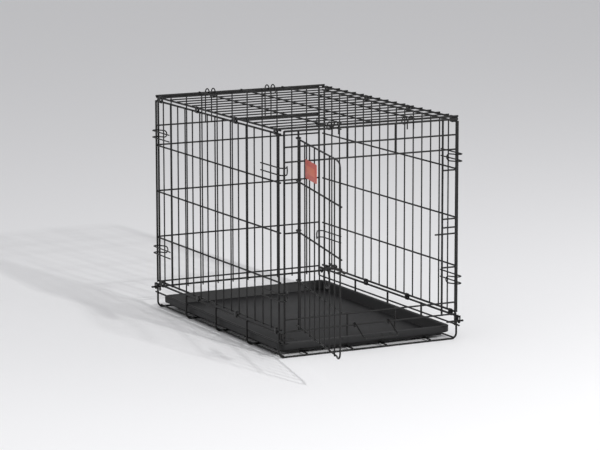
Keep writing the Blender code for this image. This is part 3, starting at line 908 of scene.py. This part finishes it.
    def build_card(self) -> None:
        """The blank printed card with its tinted panel and four rivets."""
        face = -self.bar_back - S.bar_r * HEX - S.gap
        middle = (self.card_middle[0], face - self.card_thick / 2, self.card_middle[1])
        card = self.tile("name_card", middle, (self.card[0], self.card_thick, self.card[1]), self.card_corner)
        Bench.place(card, self.placed)
        self.dress(card, PRINTED_CARD, Slot.PLATE)
        self.mount(card, "door", "name_plate", angle=30)
        front = face - self.card_thick
        panel_middle = (middle[0], front, middle[2])
        across, up = self.panel_share
        panel_size = (self.card[0] * across, self.panel_thick, self.card[1] * up)
        panel = self.tile("card_panel", panel_middle, panel_size, self.panel_corner)
        Bench.place(panel, self.placed)
        self.dress(panel, CARD_PANEL, Slot.PLATE)
        self.mount(panel, "door", angle=30)
        rivets = []
        for sx in (-1, 1):
            for sz in (-1, 1):
                across = sx * (self.card[0] / 2 - self.rivet_inset)
                up = sz * (self.card[1] / 2 - self.rivet_inset)
                spot = (middle[0] + across, front, middle[2] + up)
                Bench.clear()
                bpy.ops.mesh.primitive_uv_sphere_add(segments=16, ring_count=8, radius=0.0014, location=spot)
                head = bpy.context.object
                head.scale = (1, 0.4, 1)
                rivets.append(Bench.settle(head))
        rivets = Bench.place(Bench.join(rivets, "card_rivets"), self.placed)
        self.dress(rivets, ZINC, Slot.CLIP)
        self.mount(rivets, "door")

    @staticmethod
    def tile(name: str, middle: tuple, size: tuple, corner: float) -> bpy.types.Object:
        """A thin tile that faces -Y, with rounded corners and eased edges.

        Args:
            name: The tile's name.
            middle: The tile's middle.
            size: Its width, thickness and height.
            corner: The radius of its corners.

        Returns:
            The tile.
        """
        Bench.clear()
        bpy.ops.mesh.primitive_cube_add(size=1, location=middle)
        tile = bpy.context.object
        tile.name, tile.scale = name, size
        Bench.settle(tile)
        Bench.edit(tile, "EDGE")
        for edge in tile.data.edges:
            start, end = (tile.data.vertices[i].co for i in edge.vertices)
            edge.select = abs(start.y - end.y) > size[1] / 2
        Bench.open()
        bpy.ops.mesh.bevel(offset=corner, segments=6)
        Bench.close()
        Bench.ease(tile, size[1] * EASED_TILE, 2, EDGE_ANGLE)
        return tile


# ---------------------------------------------------------------- pan


@dataclass
class Pan(Piece):
    """The moulded floor pan with its turned-down rim and the border pressed in its floor."""

    side_gap: float = 0.0035
    end_gap: float = 0.0090
    floor_z: float = 0.006825
    rim_z: float = 0.0285
    skirt_z: float = 0.0150
    rim: float = 0.0105
    wall: float = 0.0020
    corner: float = 0.0180
    slope: float = 0.0040
    border: float = 0.0028
    border_slope: float = 0.0012
    border_rise: float = 0.0008
    eased: float = 0.0009

    def build(self) -> None:
        """Mould the pan."""
        width, length = 2 * (S.half_w - self.side_gap), 2 * (S.half_l - self.end_gap)
        Bench.clear()
        bpy.ops.mesh.primitive_cube_add(size=1, location=(0, 0, (self.rim_z + self.skirt_z) / 2))
        pan = bpy.context.object
        pan.name, pan.scale = "floor_pan", (width, length, self.rim_z - self.skirt_z)
        Bench.settle(pan)
        Bench.edit(pan, "EDGE")
        for edge in pan.data.edges:
            start, end = (pan.data.vertices[i].co for i in edge.vertices)
            edge.select = abs(start.z - end.z) > 0.001
        Bench.open()
        bpy.ops.mesh.bevel(offset=self.corner, segments=8)
        self.pick(pan, lambda face: face.normal.z < -0.9)
        bpy.ops.mesh.delete(type="FACE")
        self.pick(pan, lambda face: face.normal.z > 0.9)
        bpy.ops.mesh.inset(thickness=self.rim, depth=0)
        depth = self.rim_z - self.floor_z - self.wall
        shrink = [1 - 2 * self.slope / (size - 2 * self.rim) for size in (width, length)]
        bpy.ops.mesh.extrude_region_move(TRANSFORM_OT_translate={"value": (0, 0, -depth)})
        bpy.ops.transform.resize(value=(shrink[0], shrink[1], 1))
        bpy.ops.mesh.inset(thickness=self.border, depth=0)
        bpy.ops.mesh.inset(thickness=self.border_slope, depth=self.border_rise)
        Bench.close()
        Bench.apply(pan, "SOLIDIFY", thickness=self.wall, offset=-1, use_even_offset=True)
        Bench.ease(pan, self.eased, 3, math.radians(35))
        self.dress(pan, PAN_POLYETHYLENE, Slot.PAN)
        self.mount(pan, "pan", "pan", angle=35)

    @staticmethod
    def pick(thing: bpy.types.Object, wanted) -> None:
        """Select the faces that a test accepts, in edit mode."""
        bpy.ops.mesh.select_mode(type="FACE")
        bpy.ops.mesh.select_all(action="DESELECT")
        Bench.close()
        for face in thing.data.polygons:
            face.select = wanted(face)
        Bench.open()


@dataclass
class PanStop(Piece):
    """The wire bail that hangs from the sill and keeps the pan in."""

    half: float = 0.0405
    length: float = 0.0490
    lift: float = math.radians(58)
    fit: float = 0.0007
    wire_r: float = 0.0016
    curl: float = math.radians(250)

    def build(self) -> None:
        """Bend the bail."""
        ring = S.row_r + self.fit + self.wire_r
        swing = Matrix.Translation((0, -S.end_row_y, S.sill[0])) @ Matrix.Rotation(-self.lift, 4, "X")
        curls = []
        for sign in (-1, 1):
            middle = Vector((sign * self.half, 0, 0))
            turn = arc(middle, Vector((0, -ring, 0)), X_AXIS, -self.curl, 20)
            curls.append(list(reversed(turn)))
        low = [Vector((sign * self.half, -ring, -self.length)) for sign in (-1, 1)]
        middle = rounded([curls[0][-1], low[0], low[1], curls[1][-1]], 0.006)
        path = curls[0][:-1] + middle + list(reversed(curls[1][:-1]))
        bail = Bench.place(Bench.wire(path, self.wire_r), swing)
        bail.name = "pan_stop_bail"
        self.dress(bail, ELECTROCOAT, Slot.WIRE)
        self.mount(bail, "pan_stop", "pan_stop")


# ---------------------------------------------------------------- clips and hooks


@dataclass
class Clips(Piece):
    """The sheet-steel bands that hinge the fold lines."""

    length: float = 0.0090
    bays: tuple[int, ...] = (0, 5)

    def build(self) -> None:
        """Roll one band and fit a copy of it at each place."""
        near = [-S.half_l + (bay + 0.5) * S.pitch for bay in self.bays]
        stations = near + [-place for place in reversed(near)]
        pattern = self.band()
        for side in Side:
            for level, z, body in (("low", S.base_rail_z, "base"), ("top", S.top_fold_z, "top")):
                for number, y in enumerate(stations, 1):
                    clip = pattern.copy()
                    clip.data = pattern.data.copy()
                    bpy.context.collection.objects.link(clip)
                    node = f"{side.name.lower()}_{level}_clip_{number}"
                    clip.name = f"{node}_band"
                    Bench.place(clip, Matrix.Translation((side.value * S.half_w, y, z + S.rail_drop / 2)))
                    self.dress(clip, CLIP_COAT, Slot.CLIP)
                    self.mount(clip, body, node, angle=35)
        bpy.data.objects.remove(pattern, do_unlink=True)

    def band(self) -> bpy.types.Object:
        """One band, centred on the origin.

        Returns:
            The band.
        """
        outer = S.frame_r + S.fit + S.clip_wall
        Bench.clear()
        bpy.ops.mesh.primitive_cube_add(size=1)
        band = bpy.context.object
        band.scale = (2 * outer, self.length, S.rail_drop + 2 * outer)
        Bench.settle(band)
        Bench.edit(band, "EDGE")
        for edge in band.data.edges:
            start, end = (band.data.vertices[i].co for i in edge.vertices)
            edge.select = abs(start.y - end.y) > self.length / 2
        Bench.open()
        bpy.ops.mesh.bevel(offset=outer * ALMOST_ROUND, segments=10)
        Pan.pick(band, lambda face: abs(face.normal.y) > 0.9)
        bpy.ops.mesh.delete(type="FACE")
        Bench.close()
        Bench.apply(band, "SOLIDIFY", thickness=S.clip_wall, offset=-1, use_even_offset=True)
        Bench.ease(band, 0.0002, 2, math.radians(50))
        return band


@dataclass
class Hooks(Piece):
    """The spring hooks that hold the corners and the top."""

    wire_r: float = 0.0014
    legs: float = 0.0150
    heights: tuple[tuple[str, float], ...] = (("low", 0.1316), ("high", 0.3958))
    bays: int = 2
    back: float = 0.0230
    turn: float = math.radians(150)
    bend: float = 0.0080
    bend_y: float = 0.3148
    top_x: tuple[tuple[End, float], ...] = ((End.FRONT, 0.0890), (End.REAR, 0.0755))
    top_back: float = 0.0150
    top_bend: float = 0.0105
    top_bend_z: float = 0.4803
    top_feet: tuple[tuple[End, float], ...] = ((End.FRONT, 0.4650), (End.REAR, 0.4120))

    def build(self) -> None:
        """Bend every hook."""
        for side in Side:
            for end in End:
                for level, z in self.heights:
                    self.side_hook(side, end, level, z)
            for end, x in self.top_x:
                self.top_hook(side, end, x)

    def hairpin(
        self, legs: Vector, start: Vector, bend: Vector, out: Vector, axis: Vector, turn: float, back: float
    ) -> list[Vector]:
        """The path of a hairpin hook.

        Args:
            legs: The direction from the middle to the first leg.
            start: The middle of the open ends.
            bend: The middle of the bend's two centres.
            out: From there to where the bend starts.
            axis: The axis the bend turns about.
            turn: How far it turns, in radians.
            back: The length behind the bend.

        Returns:
            The path from one open end to the other.
        """
        half = self.legs / 2
        outer = arc(bend, out, axis, turn, 14)
        heading = axis.cross(outer[-1] - bend).normalized() * (1 if turn > 0 else -1)
        tip = outer[-1] + heading * (back - half)
        first = [start] + outer + [tip]
        spin = heading.cross(legs)
        around = [tip + Matrix.Rotation(math.pi * i / 14, 3, spin) @ (legs * half) for i in range(1, 14)]
        if (around[6] - tip).dot(heading) < 0:
            around = [tip + (tip - point) for point in reversed(around)]
        return [p + legs * half for p in first] + around + [p - legs * half for p in reversed(first)]

    def side_hook(self, side: Side, end: End, level: str, z: float) -> None:
        """A hook on a side panel that wraps round the end panel's post."""
        x = S.half_w + S.apart(S.frame_r, S.frame_r) + (S.frame_r + self.wire_r) * HEX + S.gap
        start = Vector((side.value * x, end.value * (S.half_l - self.bays * S.pitch), z))
        bend = Vector((side.value * (x - self.bend), end.value * self.bend_y, z))
        turn = self.turn * side.value * end.value
        path = self.hairpin(Z_AXIS, start, bend, X_AXIS * side.value * self.bend, Z_AXIS, turn, self.back)
        node = f"{side.name.lower()}_{end.name.lower()}_{level}_hook"
        self.fit(path, node, f"{side.name.lower()}_side")

    def top_hook(self, side: Side, end: End, x: float) -> None:
        """A hook on an end panel that drops over the top panel's end wire."""
        y = S.end_frame_y + (S.frame_r + self.wire_r) * HEX + S.gap
        start = Vector((side.value * x, end.value * y, dict(self.top_feet)[end]))
        bend = Vector((side.value * x, end.value * (y - self.top_bend), self.top_bend_z))
        turn = self.turn * end.value
        out = Y_AXIS * end.value * self.top_bend
        path = self.hairpin(X_AXIS, start, bend, out, X_AXIS, turn, self.top_back)
        node = f"{side.name.lower()}_{end.name.lower()}_top_hook"
        self.fit(path, node, "base" if end is End.FRONT else "rear")

    def fit(self, path: list[Vector], node: str, body: str) -> None:
        """Bend one hook, dress it and mount it."""
        hook = Bench.wire(path, self.wire_r, 10)
        hook.name = f"{node}_wire"
        self.dress(hook, ELECTROCOAT, Slot.WIRE)
        self.mount(hook, body, node)


# ---------------------------------------------------------------- studio


@dataclass
class Studio:
    """The floor, the light and the camera."""

    eye: tuple[float, float, float] = (-2.830, -5.499, 1.2915)
    azimuth: float = 27.19
    elevation: float = 9.84
    roll: float = 0.10
    lens: float = 171.5

    def build(self) -> None:
        """Set up the studio."""
        self.floor()
        self.lamp("key", (0.55, -4.6, 2.75), 0.16, 150)
        self.lamp("side", (2.6, -1.9, 2.4), 1.8, 30)
        self.lamp("fill", (-3.2, -1.6, 1.9), 2.4, 14)
        self.world()
        self.camera()
        bpy.context.scene.view_settings.view_transform = "Standard"

    def floor(self) -> None:
        """A wide pale floor."""
        Bench.clear()
        bpy.ops.mesh.primitive_plane_add(size=60, location=(0, 0, 0))
        plane = bpy.context.object
        plane.name = "studio_floor"
        material = bpy.data.materials.new("matt_studio_floor")
        material.use_nodes = True
        shader = material.node_tree.nodes["Principled BSDF"]
        shader.inputs["Base Color"].default_value = linear("#f2f2f3")
        shader.inputs["Roughness"].default_value = 0.9
        plane.data.materials.append(material)

    def lamp(self, name: str, place: tuple, size: float, power: float) -> None:
        """A soft square lamp aimed at the crate.

        Args:
            name: The lamp's name.
            place: Where it hangs.
            size: Its width.
            power: Its power in watts.
        """
        light = bpy.data.lights.new(name, "AREA")
        light.shape, light.size, light.energy = "SQUARE", size, power
        lamp = bpy.data.objects.new(name, light)
        lamp.location = place
        lamp.rotation_euler = (Vector((0, 0, 0.2)) - Vector(place)).to_track_quat("-Z", "Y").to_euler()
        bpy.context.collection.objects.link(lamp)

    def world(self) -> None:
        """An even pale sky."""
        world = bpy.data.worlds.new("studio_air")
        bpy.context.scene.world = world
        world.use_nodes = True
        back = world.node_tree.nodes["Background"]
        back.inputs["Color"].default_value = linear("#eaeaec")
        back.inputs["Strength"].default_value = 0.66

    def camera(self) -> None:
        """The camera, above the crate and looking a little down on it."""
        data = bpy.data.cameras.new("studio_camera")
        data.lens, data.sensor_width = self.lens, 36
        data.clip_end = 200
        camera = bpy.data.objects.new("studio_camera", data)
        camera.location = self.eye
        turns = (90 - self.elevation, self.roll, -self.azimuth)
        camera.rotation_euler = tuple(math.radians(turn) for turn in turns)
        bpy.context.collection.objects.link(camera)
        bpy.context.scene.camera = camera


def main() -> None:
    """Build the crate's looks in order."""
    logging.basicConfig(level=logging.INFO, format="%(message)s")
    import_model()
    Studio().build()
    BaseTray().build()
    for side in Side:
        SidePanel(side).build()
    TopPanel().build()
    RearPanel().build()
    FrontPanel().build()
    Door().build()
    Pan().build()
    PanStop().build()
    Clips().build()
    Hooks().build()


if __name__ == "__main__":
    main()
